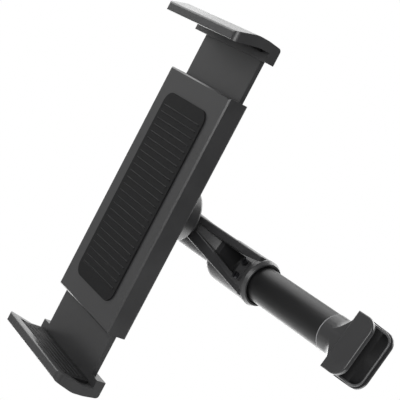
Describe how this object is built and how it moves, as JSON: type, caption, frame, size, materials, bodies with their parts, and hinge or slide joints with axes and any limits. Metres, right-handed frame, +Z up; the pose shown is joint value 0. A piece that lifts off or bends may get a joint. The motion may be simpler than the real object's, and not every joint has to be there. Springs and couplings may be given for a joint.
{
  "type": "headrest tablet mount",
  "caption": "Telescopic bar that braces between the posts of a car headrest and carries, on a ball joint, a cradle with coupled jaws for a tablet.",
  "frame": {"origin": "centre of the left post seat, on the axis of the bar", "axes": "+X along the bar to the right post, +Y to the back of the headrest, +Z up along the posts"},
  "size_m": [0.1537, 0.0811, 0.154],
  "materials": {
    "black_plastic": "satin",
    "black_tube": "satin",
    "joint_plastic": "satin",
    "rubber": "matt",
    "screw_steel": "blackened"
  },
  "bodies": {
    "bar": {"arm_body": "black_plastic", "post_liner_left": "rubber", "ball_stud": "joint_plastic", "stud_screw": "screw_steel", "guide_bush": "joint_plastic", "bush_screws": "screw_steel"},
    "sliding_end": {"tube": "black_tube", "saddle_end": "black_plastic", "post_liner_right": "rubber"},
    "liner": {"ball_liner": "joint_plastic"},
    "nut": {"ring_nut": "black_plastic"},
    "cradle": {"rail_housing": "black_plastic", "front_cover": "black_plastic", "cover_screws": "screw_steel", "rest_pad": "rubber", "pinion_axle": "screw_steel"},
    "upper_grip": {"upper_jaw": "black_plastic", "upper_jaw_pad": "rubber"},
    "lower_grip": {"lower_jaw": "black_plastic", "lower_jaw_pad": "rubber"},
    "gear": {"pinion": "joint_plastic"}
  },
  "joints": [
    {"name": "tube_slide", "type": "slide", "parent": "bar", "child": "sliding_end", "axis": [1, 0, 0], "range_m": [-0.0125, 0], "stiffness_N_per_m": 600, "springref_m": 0.03},
    {"name": "tilt", "type": "hinge", "parent": "bar", "child": "liner", "pos_m": [0.0474, -0.0225, 0.00375], "axis": [1, 0, 0], "range_deg": [-25, 1]},
    {"name": "yaw", "type": "hinge", "parent": "liner", "child": "nut", "pos_m": [0.0474, -0.0225, 0.00375], "axis": [0, -0.2079, 0.9781], "range_deg": [-1.5, 17.5]},
    {"name": "spin", "type": "hinge", "parent": "nut", "child": "cradle", "pos_m": [0.0474, -0.0225, 0.00375], "axis": [-0.1392, -0.9686, -0.2059], "continuous": true},
    {"name": "upper_slide", "type": "slide", "parent": "cradle", "child": "upper_grip", "axis": [0.0138, -0.2098, 0.9776], "range_m": [-0.0165, 0.03]},
    {"name": "lower_slide", "type": "slide", "parent": "cradle", "child": "lower_grip", "axis": [-0.0138, 0.2098, -0.9776], "range_m": [-0.0165, 0.03]},
    {"name": "pinion_turn", "type": "hinge", "parent": "cradle", "child": "gear", "pos_m": [0.04488, -0.04003, 0.00002], "axis": [0.1392, 0.9686, 0.2059], "range_deg": [-246, 136]}
  ],
  "couplings": [
    {"joint": "lower_slide", "follows": "upper_slide", "ratio": 1},
    {"joint": "pinion_turn", "follows": "upper_slide", "rad_per_m": -142.86}
  ]
}
